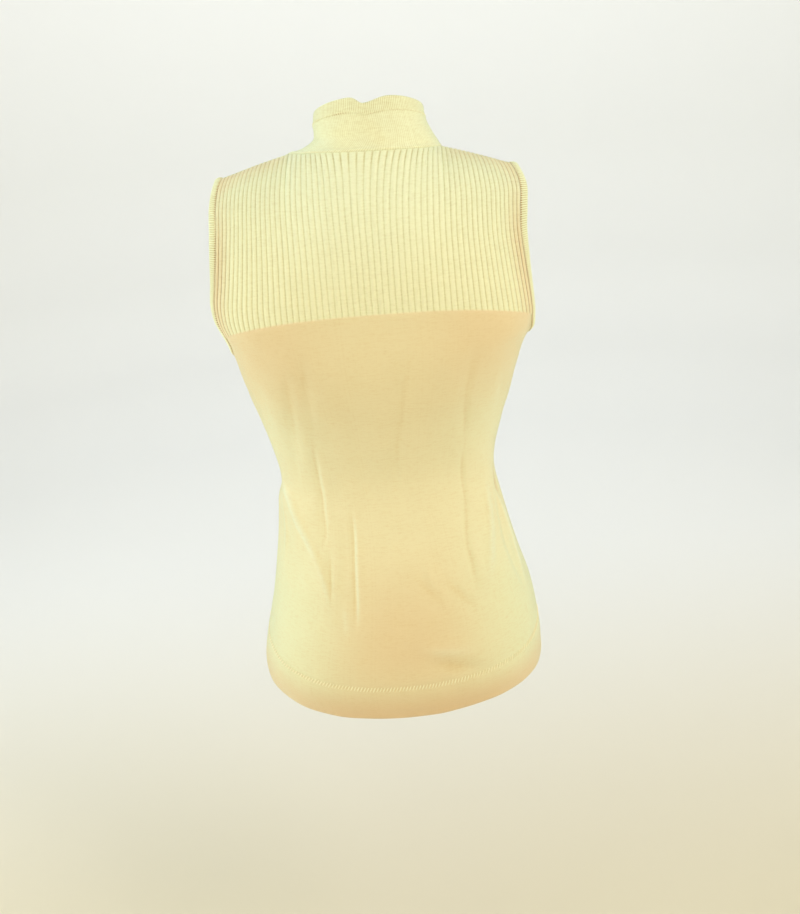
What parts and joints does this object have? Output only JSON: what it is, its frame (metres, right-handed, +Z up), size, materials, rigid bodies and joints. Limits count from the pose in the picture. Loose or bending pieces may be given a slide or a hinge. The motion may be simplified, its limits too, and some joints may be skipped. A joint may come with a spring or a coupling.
{
  "type": "sweater vest",
  "caption": "Sleeveless knit top with a mock neck, a vertically ribbed yoke over a plain body and a turned hem, kept hollow in its worn form.",
  "frame": {"origin": "middle of the neck, level with the neck ends of the two shoulder seams, where the top rests on the wearer", "axes": "+X to the wearer's left, -Y to the front, +Z up"},
  "size_m": [0.3424, 0.2445, 0.686],
  "materials": {
    "back": "fine pale yellow knit, ribbed yoke and plain body",
    "front": "fine pale yellow knit, ribbed yoke and plain body",
    "collar": "fine pale yellow knit, doubled at the top",
    "armhole_band_left": "fine pale yellow knit, folded band",
    "armhole_band_right": "fine pale yellow knit, folded band"
  },
  "bodies": {
    "root": {"back": "back", "front": "front", "collar": "collar", "armhole_band_left": "armhole_band_left", "armhole_band_right": "armhole_band_right"}
  },
  "joints": []
}
